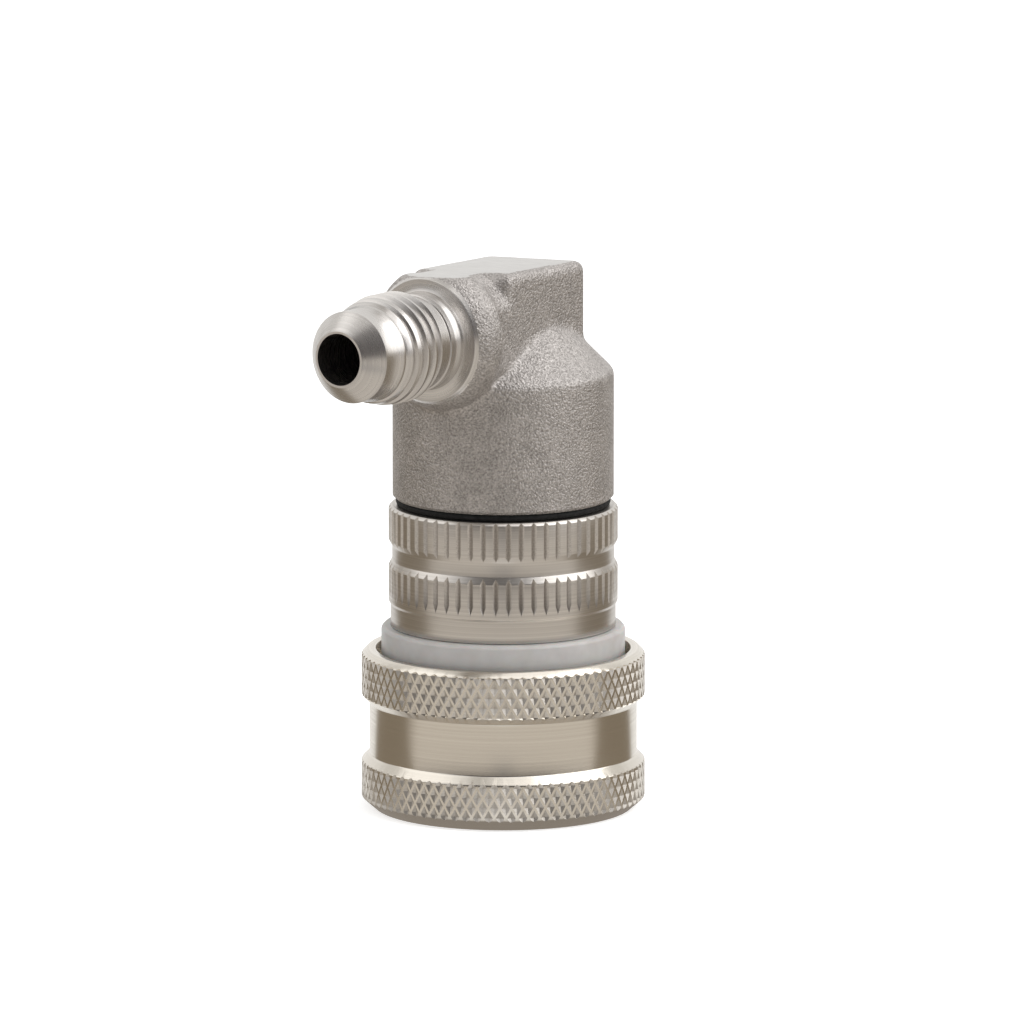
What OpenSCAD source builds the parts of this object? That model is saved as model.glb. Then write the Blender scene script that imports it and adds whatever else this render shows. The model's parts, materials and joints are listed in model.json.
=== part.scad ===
// Ball lock quick coupling with an elbow head and a male flare outlet.
// The socket axis is Z, the collar's foot plane is Z = 0, and the outlet points along -Y.
// Every radius is built outwards from the socket bore, and every height upwards from the foot.

/* [Socket] */
// Diameter of the sealing bore that takes the post
bore_d = 17.5; // [15:0.1:21]
// Radial relief of the guide bore below the sealing bore
guide_relief = 0.25; // [0.2:0.05:0.3]
// Depth of the straight bores above the sleeve's lower end
socket_depth = 19.4; // [18:0.1:23]
// Height of the guide bore, from the sleeve's lower end
guide_h = 7.4; // [7:0.1:9]
// Height of the tapered roof over the sealing bore
roof_h = 2.4; // [2:0.1:3.5]
// Wall of the sleeve that carries the balls
sleeve_wall = 1.6; // [1.45:0.05:2.1]
// Recess of the sleeve's end above the collar's foot
sleeve_recess = 0.6; // [0.4:0.1:1.2]

/* [Locking balls] */
// Number of locking balls
ball_count = 6; // [3:1:8]
// Diameter of a ball
ball_d = 3.0; // [2.8:0.1:3.4]
// How far a ball stands into the sealing bore's line when locked
ball_reach = 0.85; // [0.6:0.05:1]
// Height of the balls above the collar's stop shoulder
ball_rise = 2.7; // [2.6:0.1:3.4]
// How far a ball moves outwards for each millimetre of collar lift
cam_slope = 0.3; // [0.28:0.01:0.34]
// Radial clearance of a ball in its hole
ball_fit = 0.05; // [0.03:0.01:0.08]
// Clearance between a ball and the collar's cam
cam_fit = 0.03; // [0.02:0.01:0.06]

/* [Release collar] */
// Travel of the collar from locked to released
collar_lift = 3.2; // [3:0.1:3.4]
// Wall of the collar at its lip
lip_wall = 1.45; // [1.2:0.05:2]
// Radial gap between the lip and the guide ring
lip_gap = 0.55; // [0.4:0.05:0.8]
// Depth of the smooth groove between the two knurled bands
collar_groove_depth = 0.8; // [0.5:0.05:1]
// Height of the lower knurled band
lower_band_h = 3.65; // [3:0.05:4]
// Height of the upper knurled band
upper_band_h = 4.05; // [3.5:0.05:4.5]
// Length of the collar's running land on the sleeve
collar_land_h = 2.0; // [1.5:0.1:3]
// Height of the spring's room, collar locked
spring_room = 7.2; // [6.8:0.05:9]
// Radial clearance of the collar on the sleeve
running_fit = 0.05; // [0.03:0.01:0.08]
// Height of the chamfer at the foot
foot_chamfer = 1.15; // [0.8:0.05:1.3]
// Width of the flat foot around the collar's stop recess
foot_w = 0.7; // [0.5:0.05:1]

/* [Springs] */
// Wire diameter of the collar's spring
collar_wire_d = 0.7; // [0.5:0.05:0.8]
// Number of turns of the collar's spring
collar_turns = 4; // [3:0.5:4]
// Wire diameter of the poppet's spring
poppet_wire_d = 0.5; // [0.4:0.05:0.6]
// Number of turns of the poppet's spring
poppet_turns = 8; // [6:1:10]

/* [Guide ring] */
// Radial thickness of the plastic ring
guide_ring_wall = 1.65; // [1.5:0.05:2]
// Height of the plastic ring
guide_ring_h = 3.45; // [3:0.05:4]
// How far the collar's lip stands above the ring's underside
lip_overlap = 1.1; // [0.8:0.1:1.5]

/* [Retaining ring] */
// Thickness of the retaining ring
ring_t = 0.75; // [0.6:0.05:1]
// Radial width of the retaining ring
ring_w = 2.25; // [2:0.05:2.6]
// Depth of the groove that holds it in the sleeve
ring_groove_depth = 0.7; // [0.5:0.05:0.9]
// Height of the sleeve's end below the groove
ring_lip_h = 0.7; // [0.6:0.05:1]
// Opening of the ring at its ends
ring_opening = 4; // [3:0.5:6]

/* [Barrel] */
// Step from the sleeve out to the plain land
land_step = 0.75; // [0.6:0.05:1]
// Height of the plain land above the guide ring
land_h = 2.2; // [1.5:0.1:3]
// Step from the sleeve out to the knurled bands
band_step = 0.95; // [0.8:0.05:1.2]
// Height of the barrel's lower knurled band
barrel_lower_band_h = 3.9; // [3:0.05:4.5]
// Height of the barrel's upper knurled band
barrel_upper_band_h = 3.2; // [2.5:0.05:4]
// Width of the smooth groove between the barrel's bands
barrel_groove_h = 1.4; // [1:0.1:2]
// Depth of that groove
barrel_groove_depth = 0.35; // [0.2:0.05:0.5]
// Number of flutes around each of the barrel's bands
flute_count = 56; // [24:1:60]
// Width of a flute at the band's surface
flute_w = 0.55; // [0.3:0.05:0.6]
// Depth of a flute
flute_depth = 0.25; // [0.15:0.05:0.3]
// Height over which a flute runs out at the lower band's foot
flute_run_out = 0.9; // [0.5:0.1:1.5]
// Diameter of the threaded spigot that screws into the head
spigot_d = 15.8; // [14:0.1:17]
// Length of the spigot above the barrel's top face
spigot_h = 7; // [5:0.1:9]
// Diameter of the valve chamber in the barrel
chamber_d = 9; // [8.6:0.1:10]
// Thickness of the valve seat
seat_t = 1.6; // [1.2:0.1:2.4]
// Diameter of the hole through the valve seat
seat_hole_d = 4.8; // [4.4:0.1:5.4]

/* [Poppet] */
// Diameter of the poppet's pin
poppet_pin_d = 3.6; // [3:0.1:4]
// How far the pin hangs below the valve seat
poppet_pin_drop = 1.5; // [1:0.1:1.8]
// Diameter of the poppet's head
poppet_head_d = 7.4; // [6.8:0.1:8]
// Thickness of the poppet's head
poppet_head_t = 1.3; // [1:0.1:2]
// Diameter of the stem inside the spring
poppet_stem_d = 3.4; // [2.6:0.1:3.8]
// Length of the stem
poppet_stem_h = 6; // [4:0.5:8]
// Thickness of the poppet's seal
poppet_seal_t = 1; // [0.8:0.1:1.4]
// Travel of the poppet off its seat
poppet_lift = 2.5; // [2:0.1:3]

/* [Head] */
// Thickness of the compressed seal between barrel and head
head_seal_t = 0.75; // [0.5:0.05:1]
// Step from the barrel's bands in to the cast head
head_step = 0.4; // [0.3:0.05:0.8]
// Height of the outlet's axis above the head's lower edge
outlet_rise = 17.7; // [16:0.1:22]
// Half width of the flat-sided block
block_half_w = 6.2; // [5.2:0.1:7.4]
// How far the block reaches behind the socket axis
block_back = 5.95; // [5:0.05:7]
// How far the block reaches in front of the socket axis
block_front = 7.7; // [6.5:0.1:8.5]
// Height of the block's top above the outlet's axis, at its highest corner
block_top = 6.5; // [6.2:0.1:7]
// Fall of the ground top towards the block's left side, in degrees
top_fall_left = 2.9; // [0:0.1:4]
// Fall of the ground top towards the block's back, in degrees
top_fall_back = 1.1; // [0:0.1:2]
// Radius that rounds the block's edges
block_round = 1; // [0.5:0.1:1.4]
// Drop from the outlet's axis to the foot of the conical shoulder
shoulder_drop = 4.8; // [4.2:0.1:6]
// Radius that softens the cast shoulder
shoulder_round = 2; // [1:0.1:3]
// Clearance of the spigot in the head
thread_fit = 0.05; // [0.03:0.01:0.1]
// Depth of the poppet spring's drilling above the spigot
spring_drill_h = 5.5; // [4:0.5:8]

/* [Outlet] */
// Reach of the outlet's nose from the socket axis
outlet_reach = 27.7; // [26.5:0.1:33]
// Diameter of the outlet's bore
outlet_bore_d = 5.2; // [4.4:0.1:5.6]
// Outer diameter of the flare thread
thread_d = 11.1; // [10.6:0.05:12]
// Length of the threaded stretch
thread_length = 6; // [5:0.1:6.5]
// Diameter of the plain nose land
nose_d = 9.2; // [8.4:0.1:9.8]
// Length of the plain nose land
nose_land = 2.2; // [1.5:0.1:3]
// Length of the sealing cone
nose_cone = 1.65; // [1.2:0.05:1.8]
// Diameter of the relief behind the thread
relief_d = 9.6; // [9:0.1:10]
// Diameter of the machined flange
flange_d = 12.3; // [12:0.1:13]
// Reach of the flange face from the socket axis
flange_reach = 13.35; // [13:0.05:14.5]
// Width of the bevel around the machined flange
flange_bevel = 0.35; // [0.2:0.05:0.5]
// Radius of the cast boss behind the flange
boss_r = 7.35; // [7:0.05:8]
// Radius that rounds the boss over to the flange
boss_round = 3; // [2.2:0.1:4]
// Length of the cast boss along the outlet
boss_length = 3.65; // [3:0.05:4]
// Radius of the neck between the boss and the block
neck_r = 6.9; // [6.4:0.05:7]

/* [Hidden] */
$fn = 96;

// Clearances that every piece shares
face_gap = 0.05; // between flat faces of pieces that move on each other
spring_gap = 0.4; // radial room on each side of the collar's spring

// Small forms
edge_break = 0.3; // small turned edges
band_bevel_h = 0.65; // bevels at the sides of the barrel's groove
cut_past = 1; // how far a cut reaches past the face that it opens

// Sleeve and its bores
bore_r = bore_d / 2;
guide_r = bore_r + guide_relief;
sleeve_r = guide_r + sleeve_wall;
socket_top = sleeve_recess + socket_depth;
guide_top = sleeve_recess + guide_h;
running_r = sleeve_r + running_fit;

// Retaining ring and the collar's stop
ring_z = sleeve_recess + ring_lip_h;
ring_groove_r = sleeve_r - ring_groove_depth;
ring_inner_r = ring_groove_r + face_gap;
ring_outer_r = ring_inner_r + ring_w;
stop_z = ring_z + ring_t + face_gap;
stop_recess_r = ring_outer_r + 2 * face_gap;

// Balls and the cam that holds them
ball_r = ball_d / 2;
ball_centre_r = bore_r - ball_reach + ball_r;
ball_z = stop_z + ball_rise;
ball_hole_r = ball_r + ball_fit;
ball_seat_r = sqrt(ball_r ^ 2 - (ball_centre_r - guide_r) ^ 2) + ball_fit / 2;
cam_r = ball_centre_r + (ball_r + cam_fit) * sqrt(1 + cam_slope ^ 2);
cam_foot_r = cam_r + cam_slope * ball_rise;
cam_top_z = ball_z + (cam_r - running_r) / cam_slope;

// Collar, guide ring and the spring between them
ledge_z = cam_top_z + collar_land_h;
guide_ring_z = ledge_z + spring_room;
guide_ring_r = running_r + guide_ring_wall;
collar_h = guide_ring_z + lip_overlap;
lip_r = guide_ring_r + lip_gap;
collar_r = lip_r + lip_wall;
collar_groove_r = collar_r - collar_groove_depth;
collar_spring_r = running_r + spring_gap + collar_wire_d / 2;
cavity_r = collar_spring_r + collar_wire_d / 2 + spring_gap;
lip_bore_z = guide_ring_z - collar_lift - edge_break;
foot_r = stop_recess_r + foot_w;
lower_band_top = foot_chamfer + lower_band_h;
upper_band_top = collar_h - 2 * edge_break;
upper_band_z = upper_band_top - upper_band_h;

// Barrel, from the guide ring up to the head
land_z = guide_ring_z + guide_ring_h + face_gap;
land_r = sleeve_r + land_step;
band_r = sleeve_r + band_step;
barrel_groove_r = band_r - barrel_groove_depth;
barrel_lower_band_z = land_z + land_h;
barrel_groove_z = barrel_lower_band_z + barrel_lower_band_h + band_bevel_h;
barrel_upper_band_z = barrel_groove_z + barrel_groove_h + band_bevel_h;
barrel_top = barrel_upper_band_z + barrel_upper_band_h + edge_break;
spigot_r = spigot_d / 2;
spigot_top = barrel_top + spigot_h;
chamber_r = chamber_d / 2;
seat_hole_r = seat_hole_d / 2;
seat_z = socket_top + roof_h + seat_t;

// Head and outlet
head_z = barrel_top + head_seal_t;
head_r = band_r - head_step;
outlet_z = head_z + outlet_rise;
shoulder_z = outlet_z - shoulder_drop;
boss_rear = flange_reach - boss_length;
rim_r = flange_d / 2 + flange_bevel;
rim_y = flange_reach - flange_bevel;
boss_turn = acos(1 - (boss_r - rim_r) / boss_round);
nose_start = outlet_reach - nose_cone - edge_break / 2 - nose_land;
thread_start = nose_start - thread_length;

// Poppet and its spring
poppet_pin_r = poppet_pin_d / 2;
poppet_tip_z = seat_z - seat_t - poppet_pin_drop;
poppet_head_r = poppet_head_d / 2;
poppet_head_z = seat_z + face_gap + poppet_seal_t;
poppet_stem_r = poppet_stem_d / 2;
poppet_spring_z = poppet_head_z + poppet_head_t;
poppet_spring_r = poppet_stem_r + 2 * edge_break + poppet_wire_d / 2;
spring_drill_r = poppet_spring_r + poppet_wire_d / 2 + 2 * edge_break;
spring_drill_top = spigot_top + spring_drill_h;
gas_drill_r = poppet_spring_r - poppet_wire_d / 2 - face_gap;

// A piece turned about the socket axis from its half section
module turned(points) {
    rotate_extrude() polygon(points);
}

// Points of an arc, from one angle to another
function arc(centre, r, from, to, steps = 6) =
    [for (i = [0:steps]) let (a = from + (to - from) * i / steps) centre + r * [cos(a), sin(a)]];

// Height along a spring's axis after t turns, with a closed turn at each end
function coil_height(t, turns, height, wire_d) =
    let (closed = 1.06 * wire_d)
    t < 1 ? closed * t :
    t > turns - 1 ? height - closed * (turns - t) :
    closed + (height - 2 * closed) * (t - 1) / (turns - 2);

// A compression spring that stands between two heights on the socket axis
module coil_spring(mean_r, wire_d, from_z, to_z, turns, ring_sides = 8, rings_per_turn = 24) {
    height = to_z - from_z - wire_d;
    last = turns * rings_per_turn;
    points = [
        for (k = [0:last])
            let (t = k / rings_per_turn, turn = 360 * t)
            for (side = [0:ring_sides - 1])
                let (
                    a = 360 * side / ring_sides,
                    r = mean_r + wire_d / 2 * cos(a),
                    z = from_z + wire_d / 2 * (1 + sin(a)) + coil_height(t, turns, height, wire_d)
                )
                [r * cos(turn), r * sin(turn), z]
    ];
    skin = [
        for (k = [0:last - 1], side = [0:ring_sides - 1])
            let (
                a = k * ring_sides + side,
                b = k * ring_sides + (side + 1) % ring_sides
            )
            each [[a, a + ring_sides, b], [b, a + ring_sides, b + ring_sides]]
    ];
    start_cap = [[for (side = [0:ring_sides - 1]) side]];
    end_cap = [[for (side = [ring_sides - 1:-1:0]) last * ring_sides + side]];
    polyhedron(points, concat(skin, start_cap, end_cap));
}

// Socket sleeve, plain land, knurled bands, threaded spigot and valve seat, turned in one piece
module barrel() {
    lead_in = 2 * edge_break;
    run_out_z = barrel_lower_band_z + 2 * edge_break + flute_run_out;
    color("silver") difference() {
        turned([
            [guide_r + lead_in, sleeve_recess],
            [sleeve_r - edge_break, sleeve_recess],
            [sleeve_r, sleeve_recess + edge_break],
            [sleeve_r, ring_z],
            [ring_groove_r, ring_z],
            [ring_groove_r, stop_z],
            [sleeve_r, stop_z],
            [sleeve_r, land_z],
            [land_r, land_z],
            [land_r, barrel_lower_band_z],
            [band_r, barrel_lower_band_z + edge_break],
            [band_r, barrel_lower_band_z + barrel_lower_band_h],
            [barrel_groove_r, barrel_groove_z],
            [barrel_groove_r, barrel_groove_z + barrel_groove_h],
            [band_r, barrel_upper_band_z],
            [band_r, barrel_top - edge_break],
            [band_r - edge_break, barrel_top],
            [spigot_r, barrel_top],
            [spigot_r, spigot_top - edge_break],
            [spigot_r - edge_break, spigot_top],
            [chamber_r, spigot_top],
            [chamber_r, seat_z],
            [seat_hole_r, seat_z],
            [seat_hole_r, seat_z - seat_t],
            [bore_r, socket_top],
            [bore_r, guide_top],
            [guide_r, guide_top - guide_relief],
            [guide_r, sleeve_recess + lead_in]
        ]);
        for (i = [1:ball_count]) ball_hole(i);
        for (i = [1:flute_count]) rotate(360 * i / flute_count) {
            flute(barrel_upper_band_z - band_bevel_h, barrel_top + edge_break);
            flute(run_out_z, barrel_groove_z);
            flute_end(run_out_z);
        }
    }
}

// Vee section of one flute, from its valley out past the band's surface
module flute_section() {
    past = 1 + edge_break / flute_depth;
    polygon(past * [[0, 0], [flute_depth, flute_w / 2], [flute_depth, -flute_w / 2]]);
}

// Cutter of one flute's straight stretch
module flute(from_z, to_z) {
    translate([band_r - flute_depth, 0, from_z]) linear_extrude(to_z - from_z) flute_section();
}

// Cutter that leads one flute out of the band, to a point at its foot
module flute_end(top_z) {
    slope = atan(flute_depth / flute_run_out);
    past_foot = flute_run_out / cos(slope) + edge_break;
    translate([band_r - flute_depth, 0, top_z]) rotate([0, -slope, 0])
        translate([0, 0, -past_foot]) linear_extrude(past_foot) flute_section();
}

// Radial hole for one ball, narrowed at the bore so that the ball can't fall in
module ball_hole(i) {
    rotate([0, 90, ball_angle(i)]) translate([-ball_z, 0, guide_r]) {
        translate([0, 0, edge_break]) cylinder(h = sleeve_wall, r = ball_hole_r);
        translate([0, 0, -edge_break])
            cylinder(h = 2 * edge_break, r1 = 2 * ball_seat_r - ball_hole_r, r2 = ball_hole_r);
    }
}

function ball_angle(i) = 360 * (i - 0.5) / ball_count;

module ball(i) {
    color("gainsboro") rotate(ball_angle(i)) translate([ball_centre_r, 0, ball_z]) sphere(ball_r);
}

// Open ring sprung into the sleeve's groove, which stops the collar
module retaining_ring() {
    color("slategray") difference() {
        turned([
            [ring_inner_r, ring_z],
            [ring_outer_r, ring_z],
            [ring_outer_r, ring_z + ring_t],
            [ring_inner_r, ring_z + ring_t]
        ]);
        translate([-ring_opening / 2, 0, 0]) cube([ring_opening, ring_outer_r + cut_past, stop_z + cut_past]);
    }
}

// Plastic ring that closes the top of the spring's room
module guide_ring() {
    color("whitesmoke") turned([
        [running_r, guide_ring_z],
        [guide_ring_r - edge_break, guide_ring_z],
        [guide_ring_r, guide_ring_z + edge_break],
        [guide_ring_r, guide_ring_z + guide_ring_h - edge_break],
        [guide_ring_r - edge_break, guide_ring_z + guide_ring_h],
        [running_r, guide_ring_z + guide_ring_h]
    ]);
}

module collar_spring() {
    color("gray") coil_spring(
        collar_spring_r, collar_wire_d, ledge_z + face_gap, guide_ring_z - face_gap, collar_turns
    );
}

// Release collar: knurled outside, with the ball cam, the spring's ledge and the stop shoulder inside
module release_collar() {
    color("lightgray") turned([
        [stop_recess_r, 0],
        [foot_r, 0],
        [collar_r, foot_chamfer],
        [collar_r, lower_band_top],
        [collar_groove_r, lower_band_top + collar_groove_depth],
        [collar_groove_r, upper_band_z - collar_groove_depth],
        [collar_r, upper_band_z],
        [collar_r, upper_band_top],
        [collar_r - 2 * edge_break, collar_h],
        [lip_r, collar_h],
        [lip_r, lip_bore_z],
        [cavity_r, lip_bore_z],
        [cavity_r, ledge_z],
        [running_r, ledge_z],
        [running_r, cam_top_z],
        [cam_foot_r, stop_z],
        [stop_recess_r, stop_z]
    ]);
}

// Ring squeezed between the barrel's top face and the head
module head_seal() {
    color("black") rotate_extrude() {
        inner_r = spigot_r + 2 * face_gap;
        outer_r = head_r - edge_break;
        translate([inner_r, barrel_top]) square([outer_r - inner_r - head_seal_t / 2, head_seal_t]);
        translate([outer_r - head_seal_t / 2, barrel_top + head_seal_t / 2]) circle(head_seal_t / 2);
    }
}

// Valve pin, head and stem, turned in one piece
module poppet() {
    color("silver") turned([
        [0, poppet_tip_z],
        [poppet_pin_r - edge_break, poppet_tip_z],
        [poppet_pin_r, poppet_tip_z + edge_break],
        [poppet_pin_r, poppet_head_z],
        [poppet_head_r, poppet_head_z],
        [poppet_head_r, poppet_spring_z],
        [poppet_stem_r, poppet_spring_z],
        [poppet_stem_r, poppet_spring_z + poppet_stem_h - edge_break],
        [poppet_stem_r - edge_break, poppet_spring_z + poppet_stem_h],
        [0, poppet_spring_z + poppet_stem_h]
    ]);
}

module poppet_seal() {
    color("dimgray") turned([
        [poppet_pin_r + face_gap, seat_z + face_gap],
        [poppet_head_r - edge_break, seat_z + face_gap],
        [poppet_head_r - edge_break, poppet_head_z],
        [poppet_pin_r + face_gap, poppet_head_z]
    ]);
}

module poppet_spring() {
    color("gray") coil_spring(
        poppet_spring_r, poppet_wire_d,
        poppet_spring_z + face_gap, spring_drill_top - face_gap, poppet_turns
    );
}

// Barrel of the head with its conical shoulder, about the socket axis
module head_barrel() {
    tangent = shoulder_round * tan(22.5);
    cone_top_r = block_half_w / 2;
    turned(concat(
        [[0, head_z], [head_r, head_z]],
        arc([head_r - shoulder_round, shoulder_z - tangent], shoulder_round, 0, 45),
        [[cone_top_r, shoulder_z + head_r - cone_top_r], [0, shoulder_z + head_r - cone_top_r]]
    ));
}

// Height of the ground top over any point of the head
function top_z(x, y) = outlet_z + block_top
    - (block_half_w - x) * tan(top_fall_left) - (block_front + y) * tan(top_fall_back);

// Flat-sided block on top of the head, rounded along all its edges.
// Its foot is where the shoulder's cone passes under its front corners.
module head_block() {
    foot = shoulder_z + head_r - norm([block_half_w, block_front]) - edge_break;
    inset_x = block_half_w - block_round;
    hull() for (x = [-inset_x, inset_x], y = [block_round - block_front, block_back - block_round]) {
        translate([x, y, top_z(x, y) - block_round]) sphere(block_round, $fn = 32);
        translate([x, y, foot]) cylinder(h = block_round, r = block_round, $fn = 32);
    }
}

// Everything above the ground top, which is level with the block's
module above_top() {
    reach = 2 * flange_reach;
    translate([0, 0, top_z(0, 0)]) rotate([-top_fall_back, -top_fall_left, 0])
        translate([-reach, -reach, 0]) cube([2 * reach, 2 * reach, reach]);
}

// Neck that joins the boss to the block, no wider than the block
module neck() {
    intersection() {
        translate([0, 0, outlet_z]) rotate([90, 0, 0]) cylinder(h = boss_rear + edge_break, r = neck_r);
        translate([-block_half_w, -boss_rear - edge_break, outlet_z - neck_r])
            cube([2 * block_half_w, boss_rear + edge_break, 2 * neck_r]);
    }
}

// Cast boss, machined flange, thread blank and flare nose, about the outlet's axis
module outlet() {
    thread_h = (thread_d - relief_d) / 2;
    translate([0, 0, outlet_z]) rotate([90, 0, 0]) turned(concat(
        [[0, boss_rear], [boss_r - edge_break, boss_rear], [boss_r, boss_rear + edge_break]],
        arc([boss_r - boss_round, rim_y - boss_round * sin(boss_turn)], boss_round, 0, boss_turn),
        [
            [flange_d / 2, flange_reach],
            [relief_d / 2 + edge_break, flange_reach],
            [relief_d / 2, flange_reach + edge_break],
            [relief_d / 2, thread_start - thread_h],
            [thread_d / 2, thread_start],
            [thread_d / 2, nose_start - (thread_d - nose_d) / 2],
            [nose_d / 2, nose_start],
            [nose_d / 2, nose_start + nose_land],
            [nose_d / 2 - nose_cone, nose_start + nose_land + nose_cone],
            [outlet_bore_d / 2 + edge_break / 2, outlet_reach],
            [0, outlet_reach]
        ]
    ));
}

// Drillings: threaded socket for the spigot, spring bore and gas way up to the outlet's bore
module head_drillings() {
    past_axis = gas_drill_r + edge_break;
    translate([0, 0, head_z - cut_past])
        cylinder(h = cut_past + spigot_top - head_z + edge_break, r = spigot_r + thread_fit);
    translate([0, 0, head_z]) cylinder(h = spring_drill_top - head_z, r = spring_drill_r);
    translate([0, 0, head_z]) cylinder(h = outlet_z - head_z + gas_drill_r / 2, r = gas_drill_r);
    translate([0, past_axis, outlet_z]) rotate([90, 0, 0])
        cylinder(h = past_axis + outlet_reach + cut_past, r = outlet_bore_d / 2);
}

// Elbow head: one casting with its outlet machined
module elbow_head() {
    color("darkgray") difference() {
        union() {
            head_barrel();
            head_block();
            difference() {
                union() {
                    neck();
                    outlet();
                }
                above_top();
            }
        }
        head_drillings();
    }
}

elbow_head();
barrel();
head_seal();
retaining_ring();
guide_ring();
collar_spring();
release_collar();
poppet();
poppet_seal();
poppet_spring();
for (i = [1:ball_count]) ball(i);
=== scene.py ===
import json
import math

import bmesh
import bpy
from mathutils import Euler, Matrix, Vector


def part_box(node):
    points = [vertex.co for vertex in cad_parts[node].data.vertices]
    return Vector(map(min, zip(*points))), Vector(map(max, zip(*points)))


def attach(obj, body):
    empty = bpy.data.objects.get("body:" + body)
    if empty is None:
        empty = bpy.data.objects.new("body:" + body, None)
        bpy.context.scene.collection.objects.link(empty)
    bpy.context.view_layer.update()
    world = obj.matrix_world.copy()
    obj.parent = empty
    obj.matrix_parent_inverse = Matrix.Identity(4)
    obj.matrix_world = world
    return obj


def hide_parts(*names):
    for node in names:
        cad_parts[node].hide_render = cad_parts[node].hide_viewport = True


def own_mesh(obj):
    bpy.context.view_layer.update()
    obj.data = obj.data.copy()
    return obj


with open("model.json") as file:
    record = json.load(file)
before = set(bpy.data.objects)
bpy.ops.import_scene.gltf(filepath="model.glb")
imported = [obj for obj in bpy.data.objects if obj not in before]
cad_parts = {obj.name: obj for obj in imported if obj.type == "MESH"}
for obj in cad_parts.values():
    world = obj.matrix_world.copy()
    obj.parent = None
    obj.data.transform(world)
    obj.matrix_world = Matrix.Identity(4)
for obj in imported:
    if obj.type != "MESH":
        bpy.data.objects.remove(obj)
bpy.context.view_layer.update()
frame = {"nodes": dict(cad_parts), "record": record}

# Lengths below are in millimetres, and MM turns them into the frame's metres.
MM = 0.001
WELD = 0.0005 * MM
TURN_STEPS = 224

mounts = {mount["name"]: mount for mount in frame["record"]["mounts"]}
BALLS = sorted(node for node in frame["nodes"] if node.startswith("ball_"))


def low(node):
    """A node's lowest corner at rest, in millimetres."""
    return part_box(node)[0] / MM


def high(node):
    """A node's highest corner at rest, in millimetres."""
    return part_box(node)[1] / MM


# Elbow head and outlet
HEAD_FOOT = low("elbow_head").z
HEAD_R = high("elbow_head").y
OUTLET_Z = mounts["flare_thread"]["pos_m"][2] / MM
OUTLET_REACH = -low("elbow_head").y
BOSS_R = 7.35
BOSS_REAR = 9.7
BOSS_ROUND = 3.0
NECK_R = 6.9
FLANGE_REACH = 13.35
FLANGE_R = 6.15
FLANGE_BEVEL = 0.35
BLOCK_HALF_W = 6.2
BLOCK_FRONT = 7.7
BLOCK_BACK = 5.95
BLOCK_TOP = 6.5
TOP_FALL_LEFT = math.radians(2.9)
TOP_FALL_BACK = math.radians(1.1)
SHOULDER_DROP = 4.8
CAST_ROUND = 1.0
OUTLET_BORE_R = 2.6
SPIGOT_PLAY = 0.05
VALVE_ROOM_R = 3.4
VALVE_ROOM_H = 5.5
RISER_R = 2.25
NOSE_R = 4.6
NOSE_CONE = 1.65
NOSE_LAND = 2.2
THREAD_R = mounts["flare_thread"]["dims"]["r_mm"]
THREAD_PITCH = 1.27
THREAD_DEPTH = 0.75
THREAD_LENGTH = 6.4
FIRST_CREST = 1.12
LEAD_IN = 3.2
RELIEF_R = 4.8
RELIEF_RIDGE_H = 0.12

# Barrel
BARREL_FOOT = low("barrel").z
BARREL_R = high("barrel").x
BARREL_FACE = low("head_seal").z
SPIGOT_TOP = high("barrel").z
SPIGOT_R = 7.9
VALVE_R = 4.5
VALVE_SEAT_Z = 24
PASSAGE_R = 2.4
PASSAGE_FOOT = 22.4
SLEEVE_R = BARREL_R - 0.95
SLEEVE_PLAY = 0.05
RING_GROOVE_DEPTH = 0.7
RING_GROOVE_H = 0.8
BORE_R = mounts["post_socket"]["dims"]["r_mm"]
BORE_FOOT = 8
BORE_TOP = 20
MOUTH_R = BORE_R + 0.25
BALL_HOLE_R = 1.55
BALL_STOP_R = 1.47
LAND_FOOT = high("guide_ring").z + 0.05
LAND_R = BARREL_R - 0.2
LOWER_BAND_FOOT = LAND_FOOT + 2.2
LOWER_BAND_H = 3.9
GROOVE_R = BARREL_R - 0.35
GROOVE_H = 1.4
GROOVE_BEVEL = 0.65
FLUTE_COUNT = 56
FLUTE_W = 0.58
FLUTE_DEPTH = 0.27
FLUTE_RUN_OUT = 0.9

# Release collar
COLLAR_R = high("release_collar").x
COLLAR_H = high("release_collar").z
COLLAR_GROOVE_DEPTH = 0.8
COLLAR_LIP_WALL = 1.45
COLLAR_LIP_CHAMFER = 0.6
STOP_R = 12.3
STOP_Z = 2.1
CAM_FOOT_R = 11.81
CAM_TOP_Z = 5.96
LEDGE_Z = 7.96
SPRING_ROOM_R = 12.15
SPRING_ROOM_TOP = 11.66
FOOT_CHAMFER = 1.15
LOWER_KNURL_H = 3.65
UPPER_KNURL_H = 4.05
KNURL_COUNT = 78
KNURL_DEPTH = 0.24
KNURL_RIDGE = 0.075

EDGE = 0.3


# ---------------------------------------------------------------- modelling


def only(piece):
    """Makes one piece the selected and active one."""
    bpy.ops.object.select_all(action="DESELECT")
    piece.select_set(True)
    bpy.context.view_layer.objects.active = piece
    return piece


def added(name):
    """Names the primitive that was just added and puts its place into its mesh."""
    piece = bpy.context.object
    piece.name = name
    bpy.ops.object.transform_apply(location=True, rotation=True, scale=True)
    return piece


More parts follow.
